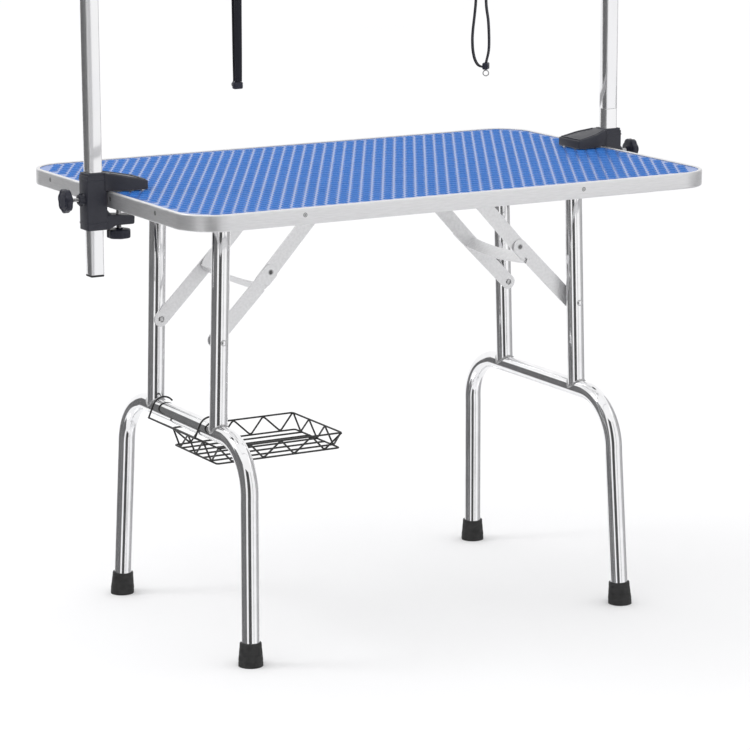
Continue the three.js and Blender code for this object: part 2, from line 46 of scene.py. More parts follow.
# ---- Camera ----
CAMERA_PLACE = (-2.3918, -4.2558, 1.4202)
camera_data = bpy.data.cameras.new("camera")
camera_data.sensor_width = 36
camera_data.lens = 149.69
camera_data.clip_end = 80
camera = bpy.data.objects.new("camera", camera_data)
camera.location = CAMERA_PLACE
aim = Matrix.Rotation(-0.5141, 3, "Z") @ Matrix.Rotation(math.pi / 2 - 0.2119, 3, "X")
camera.rotation_euler = (aim @ Matrix.Rotation(-0.0031, 3, "Z")).to_euler()
bpy.context.scene.collection.objects.link(camera)
bpy.context.scene.camera = camera


# ---- Materials ----
class Finish:
    """A Principled material with its node helpers. Texture coordinates are metres in the row frame."""

    def __init__(self, name, color, roughness, metallic=0.0):
        self.material = bpy.data.materials.new(name)
        self.material.use_nodes = True
        self.nodes = self.material.node_tree.nodes
        self.links = self.material.node_tree.links
        self.shader = self.nodes["Principled BSDF"]
        self.shader.inputs["Base Color"].default_value = (*color, 1)
        self.shader.inputs["Roughness"].default_value = roughness
        self.shader.inputs["Metallic"].default_value = metallic
        self.place = self.nodes.new("ShaderNodeTexCoord").outputs["Object"]

    def stretched(self, scale):
        mapping = self.nodes.new("ShaderNodeMapping")
        mapping.inputs["Scale"].default_value = scale
        self.links.new(self.place, mapping.inputs["Vector"])
        return mapping.outputs["Vector"]

    def noise(self, scale, detail=3, stretch=(1, 1, 1)):
        node = self.nodes.new("ShaderNodeTexNoise")
        node.inputs["Scale"].default_value = scale
        node.inputs["Detail"].default_value = detail
        self.links.new(self.stretched(stretch), node.inputs["Vector"])
        return node.outputs["Fac"]

    def bands(self, direction, period, distortion=0.0):
        """Smooth ridges across X, Y or Z, that many metres apart."""
        node = self.nodes.new("ShaderNodeTexWave")
        node.bands_direction = direction
        node.inputs["Scale"].default_value = 2 * math.pi / (20 * period)
        node.inputs["Distortion"].default_value = distortion
        self.links.new(self.place, node.inputs["Vector"])
        return node.outputs["Fac"]

    def math(self, operation, a, b):
        node = self.nodes.new("ShaderNodeMath")
        node.operation = operation
        for socket, value in zip(node.inputs, (a, b)):
            if isinstance(value, (int, float)):
                socket.default_value = value
            else:
                self.links.new(value, socket)
        return node.outputs[0]

    def ramp(self, factor, stops):
        node = self.nodes.new("ShaderNodeValToRGB")
        while len(node.color_ramp.elements) < len(stops):
            node.color_ramp.elements.new(0.5)
        for element, (position, color) in zip(node.color_ramp.elements, stops):
            element.position = position
            element.color = (*color, 1)
        self.links.new(factor, node.inputs["Fac"])
        return node.outputs["Color"]

    def color(self, factor, stops):
        self.links.new(self.ramp(factor, stops), self.shader.inputs["Base Color"])

    def roughness(self, factor, low, high):
        node = self.nodes.new("ShaderNodeMapRange")
        node.inputs["To Min"].default_value = low
        node.inputs["To Max"].default_value = high
        self.links.new(factor, node.inputs["Value"])
        self.links.new(node.outputs["Result"], self.shader.inputs["Roughness"])

    def bump(self, height, strength, distance):
        node = self.nodes.new("ShaderNodeBump")
        node.inputs["Strength"].default_value = strength
        node.inputs["Distance"].default_value = distance
        self.links.new(height, node.inputs["Height"])
        self.links.new(node.outputs["Normal"], self.shader.inputs["Normal"])


def grey(value):
    return (value, value, value * 1.01)


def metal(name, dark, light, rough, grain_scale, bump, stretch=(1, 1, 1)):
    finish = Finish(name, grey(light), rough[0], 1.0)
    grain = finish.noise(grain_scale, 4, stretch)
    finish.color(grain, [(0.3, grey(dark)), (0.7, grey(light))])
    finish.roughness(grain, *rough)
    finish.bump(grain, bump, 0.0004)
    return finish.material


def mat_blue():
    """The smooth sheet under the studs. Seen low, it mirrors the studio along the lanes between them."""
    finish = Finish("mat_blue", (0.025, 0.13, 0.48), 0.45)
    finish.color(finish.noise(14, 3), [(0.3, (0.024, 0.135, 0.50)), (0.7, (0.034, 0.165, 0.56))])
    finish.roughness(finish.noise(420, 3), 0.16, 0.30)
    finish.bump(finish.noise(900, 2), 0.06, 0.0003)
    finish.shader.inputs["Specular IOR Level"].default_value = 0.6
    return finish.material


def stud_rim():
    finish = Finish("stud_rim", (0.035, 0.16, 0.54), 0.4)
    finish.color(finish.noise(60, 2), [(0.3, (0.026, 0.145, 0.50)), (0.7, (0.036, 0.18, 0.58))])
    finish.bump(finish.noise(1200, 2), 0.1, 0.0002)
    finish.shader.inputs["Specular IOR Level"].default_value = 0.08
    return finish.material


def stud_weave():
    """The fine square weave pressed into the top of each stud."""
    finish = Finish("stud_weave", (0.04, 0.16, 0.52), 0.5)
    weave = finish.math("MULTIPLY", finish.bands("X", 0.00075), finish.bands("Y", 0.00075))
    patchy = finish.math("ADD", finish.math("MULTIPLY", finish.noise(45, 2), 0.5), weave)
    shades = [(0.2, (0.022, 0.14, 0.48)), (0.6, (0.034, 0.185, 0.60)), (1.0, (0.08, 0.27, 0.72))]
    finish.color(patchy, shades)
    finish.roughness(weave, 0.45, 0.65)
    finish.shader.inputs["Specular IOR Level"].default_value = 0.08
    finish.bump(weave, 0.55, 0.0002)
    return finish.material


def black_plastic(name, tint, grain):
    finish = Finish(name, tint, 0.42)
    speckle = finish.noise(grain, 3)
    dark, light = (tuple(share * value for value in tint) for share in (0.8, 1.5))
    finish.color(speckle, [(0.3, dark), (0.75, light)])
    finish.roughness(finish.noise(70, 2), 0.34, 0.55)
    finish.bump(speckle, 0.3, 0.0002)
    return finish.material


def rubber():
    finish = Finish("foot_rubber", (0.012, 0.012, 0.013), 0.7)
    speckle = finish.noise(900, 4)
    finish.color(finish.noise(90, 3), [(0.3, grey(0.010)), (0.75, grey(0.028))])
    finish.roughness(finish.noise(60, 2), 0.55, 0.8)
    finish.bump(speckle, 0.35, 0.0003)
    return finish.material


def wire_paint():
    finish = Finish("wire_paint", (0.008, 0.008, 0.010), 0.3)
    finish.color(finish.noise(200, 3), [(0.3, grey(0.006)), (0.8, grey(0.016))])
    finish.roughness(finish.noise(300, 2), 0.22, 0.45)
    finish.bump(finish.noise(1500, 2), 0.15, 0.0002)
    return finish.material


def webbing():
    """Flat woven tape: rows of short ribs across it, a lengthwise weave and a fuzzy edge."""
    finish = Finish("webbing", (0.006, 0.006, 0.012), 0.85)
    ribs = finish.bands("Z", 0.0021, 0.6)
    threads = finish.bands("DIAGONAL", 0.0016, 0.4)
    weave = finish.math("MULTIPLY", ribs, threads)
    finish.color(weave, [(0.0, (0.003, 0.003, 0.007)), (1.0, (0.014, 0.013, 0.026))])
    finish.bump(finish.math("ADD", weave, finish.noise(2500, 2)), 0.6, 0.0004)
    finish.shader.inputs["Sheen Weight"].default_value = 0.1
    return finish.material


def laminate():
    """Pale laminated board: faint grain on the faces and thin glue lines round the edge."""
    finish = Finish("laminate", (0.60, 0.60, 0.585), 0.5)
    grain = finish.noise(26, 5, (1, 14, 1))
    plies = finish.bands("Z", 0.0032, 0.15)
    mixed = finish.math("ADD", finish.math("MULTIPLY", grain, 0.8), finish.math("MULTIPLY", plies, 0.25))
    shades = [(0.25, (0.50, 0.495, 0.48)), (0.55, (0.60, 0.595, 0.58)), (0.85, (0.68, 0.675, 0.66))]
    finish.color(mixed, shades)
    finish.roughness(grain, 0.4, 0.6)
    finish.bump(grain, 0.15, 0.0004)
    return finish.material


MAT_BLUE = mat_blue()
STUD_RIM = stud_rim()
STUD_WEAVE = stud_weave()
RIM_METAL = metal("rim_aluminium", 0.78, 0.86, (0.42, 0.55), 60, 0.08, (1, 1, 12))
CHROME = metal("chrome", 0.84, 0.92, (0.05, 0.11), 30, 0.02)
POST_CHROME = metal("post_chrome", 0.84, 0.90, (0.06, 0.12), 25, 0.02, (1, 1, 0.2))
ZINC = metal("zinc_steel", 0.74, 0.84, (0.36, 0.52), 240, 0.12)
STEEL = metal("bright_steel", 0.42, 0.60, (0.25, 0.42), 300, 0.15)
# Dark steel, also used as painted shade in the rim screws' slots and round their heads.
DARK_STEEL_AND_SHADE = metal("dark_steel_and_painted_shade", 0.10, 0.22, (0.35, 0.5), 300, 0.2)
WELD = metal("weld_bead", 0.30, 0.66, (0.3, 0.55), 700, 0.6)
CLAMP_BLACK = black_plastic("clamp_black", (0.019, 0.020, 0.030), 1100)
KNOB_BLACK = black_plastic("knob_black", (0.007, 0.008, 0.020), 1500)
CAP_BLACK = black_plastic("cap_black", (0.012, 0.012, 0.014), 1300)
RUBBER = rubber()
WIRE_PAINT = wire_paint()
WEBBING = webbing()
LAMINATE = laminate()


# ---- Mesh helpers, in millimetres ----
def lathe(profile, segments=32):
    """Turns (radius, height) points round Z. A radius of 0 closes the form there."""
    bm = bmesh.new()
    rows = []
    for radius, height in profile:
        if radius < 1e-6:
            rows.append([bm.verts.new((0, 0, height))])
            continue
        rows.append([bm.verts.new((x, y, height)) for x, y in circle(radius, segments)])
    join_rows(bm, rows)
    return bm


def join_rows(bm, rows, closed=False):
    """Faces between neighbouring rows of vertices. A row of one vertex becomes a point."""
    pairs = list(zip(rows, rows[1:]))
    if closed:
        pairs.append((rows[-1], rows[0]))
    for below, above in pairs:
        count = max(len(below), len(above))
        for step in range(count):
            ahead = (step + 1) % count
            if len(below) == 1:
                bm.faces.new((below[0], above[ahead], above[step]))
            elif len(above) == 1:
                bm.faces.new((below[step], below[ahead], above[0]))
            else:
                bm.faces.new((below[step], below[ahead], above[ahead], above[step]))


def sweep(path, ring, across, closed=False):
    """Carries a ring of (u, v) points along a path. u starts along the direction across."""
    bm = bmesh.new()
    points = [Vector(point) for point in path]
    u = Vector(across)
    rows = []
    for index, point in enumerate(points):
        before = points[index - 1] if closed else points[max(index - 1, 0)]
        after = points[(index + 1) % len(points)] if closed else points[min(index + 1, len(points) - 1)]
        tangent = (after - before).normalized()
        u = (u - tangent * u.dot(tangent)).normalized()
        v = tangent.cross(u)
        rows.append([bm.verts.new(point + u * a + v * b) for a, b in ring])
    join_rows(bm, rows, closed)
    if not closed:
        bm.faces.new(reversed(rows[0]))
        bm.faces.new(rows[-1])
    return bm


def circle(radius, segments=24):
    angles = [2 * math.pi * step / segments for step in range(segments)]
    return [(radius * math.cos(a), radius * math.sin(a)) for a in angles]


def rounded_rectangle(width, depth, radius, steps=5):
    points = []
    for quarter, (sx, sy) in enumerate(((1, 1), (-1, 1), (-1, -1), (1, -1))):
        center = (sx * (width / 2 - radius), sy * (depth / 2 - radius))
        for step in range(steps + 1):
            angle = (quarter + step / steps) * math.pi / 2
            points.append((center[0] + radius * math.cos(angle), center[1] + radius * math.sin(angle)))
    return points


def prism(outline, low, high, bevel=0.0, segments=3):
    """An outline in X and Y, raised from low to high along Z."""
    bm = bmesh.new()
    bottom = [bm.verts.new((x, y, low)) for x, y in outline]
    top = [bm.verts.new((x, y, high)) for x, y in outline]
    join_rows(bm, [bottom, top])
    bm.faces.new(reversed(bottom))
    bm.faces.new(top)
    bmesh.ops.recalc_face_normals(bm, faces=bm.faces[:])
    return bevelled(bm, bevel, segments)


def box(low, high, bevel=0.0, segments=3):
    (x0, y0, z0), (x1, y1, z1) = low, high
    return prism([(x0, y0), (x1, y0), (x1, y1), (x0, y1)], z0, z1, bevel, segments)


def bevelled(bm, width, segments=3, angle=25):
    if width > 0:
        limit = math.radians(angle)
        sharp = [edge for edge in bm.edges if edge.is_manifold and edge.calc_face_angle(0) > limit]
        bmesh.ops.bevel(
            bm, geom=sharp, offset=width, segments=segments, profile=0.5, affect="EDGES", clamp_overlap=True
        )
    return bm


def moved(bm, *matrices):
    """Applies the matrices in the order they are listed."""
    for matrix in matrices:
        bmesh.ops.transform(bm, matrix=matrix, verts=bm.verts[:])
    return bm


def shift(x=0.0, y=0.0, z=0.0):
    return Matrix.Translation((x, y, z))


def turn(degrees, axis):
    return Matrix.Rotation(math.radians(degrees), 4, axis)


def side_turn(side):
    """Ends are drawn on the right and turned half round for the left."""
    return turn(180 if side == LEFT else 0, "Z")


def end_name(side, sign):
    """Whether the half drawn at that sign of Y is the front or the rear one, once its side is turned."""
    return "front" if (side == RIGHT) == (sign < 0) else "rear"


def absorb(whole, bm):
    """Copies one bmesh into another and frees it."""
    carrier = bpy.data.meshes.new("carrier")
    bm.to_mesh(carrier)
    whole.from_mesh(carrier)
    bm.free()
    bpy.data.meshes.remove(carrier)


def piece(name, parts, body, replaces=(), smooth=38):
    """Joins (bmesh, material) parts into one object that rides on a CAD body."""
    mesh = bpy.data.meshes.new(name)
    whole = bmesh.new()
    for index, (bm, material) in enumerate(parts):
        mesh.materials.append(material)
        for face in bm.faces:
            face.material_index = index
            face.smooth = True
        absorb(whole, bm)
    bmesh.ops.transform(whole, matrix=Matrix.Scale(MM, 4), verts=whole.verts[:])
    bmesh.ops.recalc_face_normals(whole, faces=whole.faces[:])
    whole.to_mesh(mesh)
    whole.free()
    mesh.set_sharp_from_angle(angle=math.radians(smooth))
    obj = bpy.data.objects.new(name, mesh)
    bpy.context.scene.collection.objects.link(obj)
    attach(obj, body)
    if replaces:
        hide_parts(*replaces)
    return obj


def smooth_path(points, steps=6):
    """A Catmull-Rom curve through the points."""
    points = [Vector(point) for point in points]
    ends = [2 * points[0] - points[1], *points, 2 * points[-1] - points[-2]]
    out = []
    for a, b, c, d in zip(ends, ends[1:], ends[2:], ends[3:]):
        for step in range(steps):
            t = step / steps
            square, cube = 2 * a - 5 * b + 4 * c - d, 3 * b - a - 3 * c + d
            out.append(0.5 * (2 * b + (c - a) * t + square * t**2 + cube * t**3))
    out.append(points[-1])
    return out


def filleted(points, radius, steps=4):
    """Rounds the corners of a polyline."""
    points = [Vector(point) for point in points]
    out = [points[0]]
    for before, corner, after in zip(points, points[1:], points[2:]):
        back, ahead = before - corner, after - corner
        reach = min(radius, back.length * 0.45, ahead.length * 0.45)
        start, end = corner + back.normalized() * reach, corner + ahead.normalized() * reach
        for step in range(steps + 1):
            t = step / steps
            out.append(start * (1 - t) ** 2 + corner * 2 * t * (1 - t) + end * t**2)
    out.append(points[-1])
    return out


# ---- Nooses ----
BAR_Z = 1462
CLAMP_Y = {LEFT: 2, RIGHT: 30}
POST_X = 473.5
BAR_SKEW = math.atan2(CLAMP_Y[RIGHT] - CLAMP_Y[LEFT], 2 * POST_X)
BAR_MIDDLE_Y = (CLAMP_Y[LEFT] + CLAMP_Y[RIGHT]) / 2
TWIST_TOP, TWIST_BOTTOM = 1400, 1040
STRAP_REACH, STRAP_SQUARENESS = 13.4, 0.42  # how far from the bar's middle the strap runs, and how squarely
# Each run lists (distance behind the noose's upright line, height). The strap turns about that
# line between the two twist heights.
NOOSES = {
    LEFT: {
        "x": -224,
        "turn": 0.0,
        "slider": (0, 842.5),
        "ring": (10.5, 849, 0.0),
        "rise": [(-3, 854), (-4, 900), (-5, 980), (-8, 1120), (-12, 1300), (-13.8, 1420)],
        "fall": [(13.8, 1420), (12, 1300), (8, 1120), (5, 980), (4, 900), (3, 854)],
    },
    RIGHT: {
        "x": 224.5,
        "turn": 0.76,
        "slider": (-6, 845),
        "ring": (-6, 839, -1.25),
        "rise": [
            (-6.5, 856.5), (-11, 880), (-10, 920), (-5.9, 955), (-8, 1010), (-11.5, 1150), (-13.8, 1420),
        ],
        "fall": [
            (13.8, 1420), (12, 1150), (10.5, 1010), (11, 955), (16, 905), (16.4, 885),
            (15.2, 872), (12.5, 861), (8.5, 853.5), (4, 850), (-1, 848.8),
        ],
    },
}


def over_bar():
    """The strap's way round the square bar."""
    points = []
    steps = 16
    for step in range(1, steps):
        angle = math.pi * (1 - step / steps)
        y, z = (
            math.copysign(STRAP_REACH * abs(value) ** STRAP_SQUARENESS, value)
            for value in (math.cos(angle), math.sin(angle))
        )
        points.append((y, BAR_Z + z))
    return points


def strap_line(noose):
    rise = [(p.y, p.z) for p in smooth_path([(0, y, z) for y, z in noose["rise"]])]
    fall = [(p.y, p.z) for p in smooth_path([(0, y, z) for y, z in noose["fall"]])]
    return rise + over_bar() + fall


def make_noose(side):
    noose = NOOSES[side]
    middle_y = BAR_MIDDLE_Y + noose["x"] * math.tan(BAR_SKEW)
    home = shift(noose["x"], middle_y)
    tape = [
        (5.6, 0.85), (-5.6, 0.85), (-6, 0.5), (-6, -0.5),
        (-5.6, -0.85), (5.6, -0.85), (6, -0.5), (6, 0.5),
    ]
    line = strap_line(noose)
    strap = sweep([(0, y, z) for y, z in line], tape, (1, 0, 0))

    def twisted(point):
        share = min(max((TWIST_TOP - point.z) / (TWIST_TOP - TWIST_BOTTOM), 0), 1)
        share = share * share * (3 - 2 * share)
        return Matrix.Rotation(noose["turn"] * share, 3, "Z") @ point

    for vertex in strap.verts:
        vertex.co = twisted(vertex.co)
    moved(strap, home)
    body = "overhead_arm"
    strap_piece = piece(
        f"{side}_noose_webbing", [(strap, WEBBING)], body, [f"{side}_noose_strap"], 50,
    )

    hanging = home @ Matrix.Rotation(noose["turn"], 4, "Z")
    behind, bottom = noose["slider"]
    shell = box((-7.5, behind - 4.5, bottom), (7.5, behind + 4.5, bottom + 11), 2.0, 4)
    button = lathe([(0, 4.9), (2.6, 4.9), (3.1, 4.4), (3.1, 0)], 20)
    moved(button, turn(90, "X"), shift(0, behind, bottom + 5.5))
    ribs = [
        box((-7.7, behind - 3.6, bottom + z), (7.7, behind + 3.6, bottom + z + 0.9), 0.3)
        for z in (2.2, 4.9, 7.6)
    ]
    parts = [(moved(part, hanging), KNOB_BLACK) for part in (shell, button, *ribs)]
    lock = piece(f"{side}_noose_lock", parts, body, [f"{side}_noose_slider"])

    ring_behind, ring_z, ring_turn = noose["ring"]
    hoop = sweep([(x, 0, z) for x, z in circle(4.5, 32)], circle(0.95, 10), (0, 1, 0), True)
    moved(hoop, Matrix.Rotation(ring_turn, 4, "Z"), shift(0, ring_behind, ring_z), hanging)
    ring = piece(f"{side}_noose_hoop", [(hoop, STEEL)], body, [f"{side}_noose_ring"])


for each_side in SIDES:
    make_noose(each_side)

# ---- Table top ----
TOP = {"length": 914, "width": 610, "corner": 62, "bottom": 680, "top": 705, "mat": 703.3}


def rim_section():
    """(distance inward, height) round the folded rim: wall, rolled lip over the mat, flange below."""
    top, bottom = TOP["top"], TOP["bottom"]
    lip = [
        (0, top - 2.4), (0.35, top - 1.0), (1.2, top - 0.2), (2.4, top),
        (4.6, top), (5.6, top - 0.3), (6.0, top - 0.8),
    ]
    inner = [
        (5.8, top - 1.3), (5.0, top - 1.5), (1.5, top - 1.5), (1.5, bottom + 1.5),
        (11.7, bottom + 1.5), (12, bottom + 1.2), (12, bottom + 0.3),
    ]
    outer = [(11.7, bottom), (2.2, bottom), (1.1, bottom + 0.2), (0.35, bottom + 0.9), (0, bottom + 2.2)]
    return lip + inner + outer


def make_rim():
    bm = bmesh.new()
    length, width, corner = TOP["length"], TOP["width"], TOP["corner"]
    loops = []
    for inward, z in rim_section():
        loop = rounded_rectangle(length - 2 * inward, width - 2 * inward, corner - inward, 20)
        loops.append([(x, y, z) for x, y in loop])
    join_rows(bm, [[bm.verts.new(point) for point in section] for section in zip(*loops)], True)
    piece("rim", [(bm, RIM_METAL)], "root", ["edge_rim"], 50)


def countersunk_screw():
    """A small cross-slotted head, flush in the rim's wall. Its slot bars and the ring round it are painted
    shade: flat dark steel in place of the shaded recess of the slot and the shaded crevice round the head.
    """
    head = lathe([(0, 0.02), (1.0, 0.02), (1.1, 0.06), (2.2, 0.06), (2.5, 0.04), (2.6, -0.5)], 24)
    # The slots are painted shade: flat dark bars laid on the head, not a recess.
    slots = [box((-1.5, -0.3, 0.0), (1.5, 0.3, 0.07)), box((-0.3, -1.5, 0.0), (0.3, 1.5, 0.07))]
    # The dish is a ring of painted shade over the crevice round the head.
    dish = lathe([(2.6, 0.02), (3.0, 0.05), (3.4, 0.02)], 24)
    return [(head, STEEL), (slots[0], DARK_STEEL_AND_SHADE), (slots[1], DARK_STEEL_AND_SHADE), (dish, DARK_STEEL_AND_SHADE)]


RIM_SCREWS = {"short_side_y": (-178, -22, 201), "long_side_x": (-276, 207), "z": 694.6}


def make_rim_screws():
    """Screws along two sides, and the same turned half round for the other two."""
    half_length, half_width = TOP["length"] / 2, TOP["width"] / 2
    spots = []
    for y in RIM_SCREWS["short_side_y"]:
        spots += [(-half_length, y, -90), (half_length, -y, 90)]
    for x in RIM_SCREWS["long_side_x"]:
        spots += [(x, -half_width, 0), (-x, half_width, 180)]
    joined = {STEEL: bmesh.new(), DARK_STEEL_AND_SHADE: bmesh.new()}
    for x, y, heading in spots:
        for bm, material in countersunk_screw():
            moved(bm, turn(90, "X"), turn(heading, "Z"), shift(x, y, RIM_SCREWS["z"]))
            absorb(joined[material], bm)
    piece("rim_screws", [(bm, material) for material, bm in joined.items()], "root")


STUD = {"radius": 7.3, "pitch": 19.05, "margin": 15}  # no stud's middle is nearer the edge than the margin


def make_studs():
    """Raised round studs, each with six neighbours at the same distance, in rows along the table."""
    radius, segments = STUD["radius"], 20
    profile = [
        (radius, 0.0), (radius - 0.25, 0.6), (radius - 0.7, 1.0), (radius - 1.1, 1.0), (radius - 1.4, 0.8),
    ]
    pitch, margin = STUD["pitch"], STUD["margin"]
    row_step = pitch * math.sqrt(3) / 2
    half_length, half_width = TOP["length"] / 2 - margin, TOP["width"] / 2 - margin
    corner = TOP["corner"] - margin
    vertices, faces, weave_faces = [], [], []
    ring = circle(1, segments)
    columns = int(half_length // pitch) + 1
    rows = int(half_width // row_step)
    for row in range(-rows, rows + 1):
        y = row * row_step
        for column in range(-columns, columns + 1):
            x = (column + (0.5 if row % 2 else 0)) * pitch
            beyond = (max(abs(x) - half_length + corner, 0), max(abs(y) - half_width + corner, 0))
            if math.hypot(*beyond) > corner:
                continue
            base = len(vertices)
            for r, z in profile:
                vertices += [((x + r * c) * MM, (y + r * s) * MM, (TOP["mat"] + z) * MM) for c, s in ring]
            for level in range(len(profile) - 1):
                for i in range(segments):
                    j = (i + 1) % segments
                    a = base + level * segments
                    faces.append((a + i, a + j, a + segments + j, a + segments + i))
            top = base + (len(profile) - 1) * segments
            weave_faces.append(tuple(range(top, top + segments)))
    mesh = bpy.data.meshes.new("mat_studs")
    mesh.from_pydata(vertices, [], faces + weave_faces)
    mesh.materials.append(STUD_RIM)
    mesh.materials.append(STUD_WEAVE)
    for index, polygon in enumerate(mesh.polygons):
        polygon.material_index = 1 if index >= len(faces) else 0
        polygon.use_smooth = True
    mesh.set_sharp_from_angle(angle=math.radians(50))
    studs = bpy.data.objects.new("mat_studs", mesh)
    bpy.context.scene.collection.objects.link(studs)
    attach(studs, "root")


make_rim()
make_rim_screws()
make_studs()

# ---- Leg frames ----
HINGE_X, HINGE_Z = 315, 662
LEG_LEAN = math.degrees(math.atan(0.0302))
TUBE_RADIUS = 14
CROSS_DROP, BEND_RADIUS, KNEE_Y, FOOT_Y = 327, 80, 217, 229
UPRIGHT_Y, UPRIGHT_TOP = 110, 9
BRACE_DROP = 185
KNEE_RIVET = (224.5, 96.1, 572.5)


def leg_home(side):
    """From the leg frame's own axes at the hinge, hanging straight down, to the row frame."""
    return (turn(-LEG_LEAN, "Y"), shift(HINGE_X, 0, HINGE_Z), side_turn(side))


def leg_line():
    knee_z = -CROSS_DROP - BEND_RADIUS
    foot_z = -HINGE_Z / math.cos(math.radians(LEG_LEAN)) + 7
    splay = math.atan((FOOT_Y - KNEE_Y) / (knee_z - foot_z))
    half = [(0, FOOT_Y, foot_z)]
    steps = 20
    for step in range(steps + 1):
        angle = (step / steps) * (math.pi / 2 + splay) - splay
        y = KNEE_Y - BEND_RADIUS + BEND_RADIUS * math.cos(angle)
        half.append((0, y, knee_z + BEND_RADIUS * math.sin(angle)))
    return half + [(0, -y, z) for _, y, z in reversed(half)], splay


def weld_bead(y):
    """A lumpy bead round the saddle where an upright lands on the cross tube."""
    path = []
    steps = 72
    for step in range(steps):
        angle = 2 * math.pi * step / steps
        swell = 0.5 + 0.22 * math.sin(9 * angle) + 0.15 * math.sin(23 * angle + 1)
        x, across = (TUBE_RADIUS + swell) * math.cos(angle), (TUBE_RADIUS + swell) * math.sin(angle)
        height = math.sqrt(max((TUBE_RADIUS + 0.6) ** 2 - min(abs(x), TUBE_RADIUS + 0.6) ** 2, 0))
        path.append((x, y + across, -CROSS_DROP + max(height, 1.5)))
    return sweep(path, circle(1.5, 8), (0, 0, 1), True)


def make_leg_frame(side):
    line, splay = leg_line()
    home = leg_home(side)
    body = f"{side}_leg_frame"
    tube = sweep(line, circle(TUBE_RADIUS, 40), (1, 0, 0))
    piece(f"{side}_leg_tube", [(moved(tube, *home), CHROME)], body, [f"{side}_lower_tube"])
    for sign in (-1, 1):
        top = UPRIGHT_TOP
        upright = lathe([
            (TUBE_RADIUS, -CROSS_DROP + 1), (TUBE_RADIUS, top - 0.6), (13.6, top), (12.8, top),
            (12.5, top - 0.5), (12.5, top - 30), (0, top - 30),
        ], 40)
        moved(upright, shift(0, sign * UPRIGHT_Y), *home)
        bead = moved(weld_bead(sign * UPRIGHT_Y), *home)
        name = f"{side}_{end_name(side, sign)}"
        piece(f"{name}_stay", [(upright, CHROME), (bead, WELD)], body, [f"{name}_upright"], 60)

        profile = [
            (0, -20), (18.2, -20), (19, -19), (19, -1.5), (18.6, -0.6), (18.6, 0.8), (19, 1.7), (18.8, 3.2),
            (18.2, 9), (17.8, 9.6), (17.8, 10.6), (18.0, 11.2), (17.2, 20), (16.9, 20.6), (16.9, 21.6),
            (17.0, 22.2), (16.7, 27.6), (16.2, 28.7), (15.2, 29), (14.2, 29), (14.2, 20),
        ]
        foot = lathe(profile, 48)
        foot_z = line[0][2]
        moved(foot, turn(math.degrees(splay) * sign, "X"), shift(0, sign * FOOT_Y, foot_z), *home)
        cut = bmesh.ops.bisect_plane(
            foot, geom=foot.verts[:] + foot.edges[:] + foot.faces[:],
            plane_co=(0, 0, 0), plane_no=(0, 0, -1), clear_outer=True,
        )
        edges = [item for item in cut["geom_cut"] if isinstance(item, bmesh.types.BMEdge)]
        bmesh.ops.contextual_create(foot, geom=edges)
        piece(f"{name}_foot", [(foot, RUBBER)], body, [f"{name}_foot_cap"], 30)

        stem = lathe([
            (0, -17.3), (2.4, -17.3), (3.3, -16.9), (3.7, -16.0), (3.7, -14.3), (3, -14.3),
            (3, 14.4), (4.6, 14.4), (4.9, 14.8), (4.6, 15.1), (3.2, 15.1),
        ], 28)
        head = lathe([(3.3, 15.0), (3.2, 15.6), (2.4, 16.2), (1.2, 16.5), (0, 16.6)], 28)
        place = (turn(-90 * sign, "X"), shift(0, sign * UPRIGHT_Y, -BRACE_DROP), *home)
        rivet = [(moved(stem, *place), STEEL), (moved(head, *place), CHROME)]
        piece(f"{name}_brace_rivet", rivet, body, [f"{name}_brace_bolt"])

        pin = lathe([
            (0, -20.4), (4.2, -20.4), (5, -19.6), (5, -17.6), (3, -17.6), (3, 17.6), (6, 17.6),
            (6, 18.6), (5.2, 20), (3.2, 20.9), (0, 21),
        ], 28)
        moved(pin, turn(-90 * sign, "X"), shift(HINGE_X, sign * UPRIGHT_Y, HINGE_Z), side_turn(side))
        piece(f"{name}_hinge_rivet", [(pin, STEEL)], "root", [f"{name}_hinge_pin"])


def make_knee_rivets(side):
    """The rivet at each knee rides on the lower link that its head sits on."""
    x, y, z = KNEE_RIVET
    for sign in (-1, 1):
        washer = lathe([(0, -3.1), (4.8, -3.1), (4.8, -0.35), (4.5, -0.25), (3.0, -0.25)], 28)
        head = lathe([(3.3, -0.3), (3.2, -0.2), (2.9, -0.14), (0, -0.12)], 28)
        place = (turn(-90 * sign, "X"), shift(x, sign * y, z), side_turn(side))
        rivet = [(moved(washer, *place), STEEL), (moved(head, *place), DARK_STEEL_AND_SHADE)]
        piece(f"{side}_{end_name(side, sign)}_knee_rivet", rivet, f"{side}_lower_links")


for each_side in SIDES:
    make_leg_frame(each_side)
    make_knee_rivets(each_side)

# ---- Wire basket ----
WIRE = 1.5
BASKET = {"half": 82, "depth": 215, "top": -32, "bottom": -58, "inset": 15}
HOOK = (-26, -11)  # x and z of the bend where each hook's wire turns back to the basket


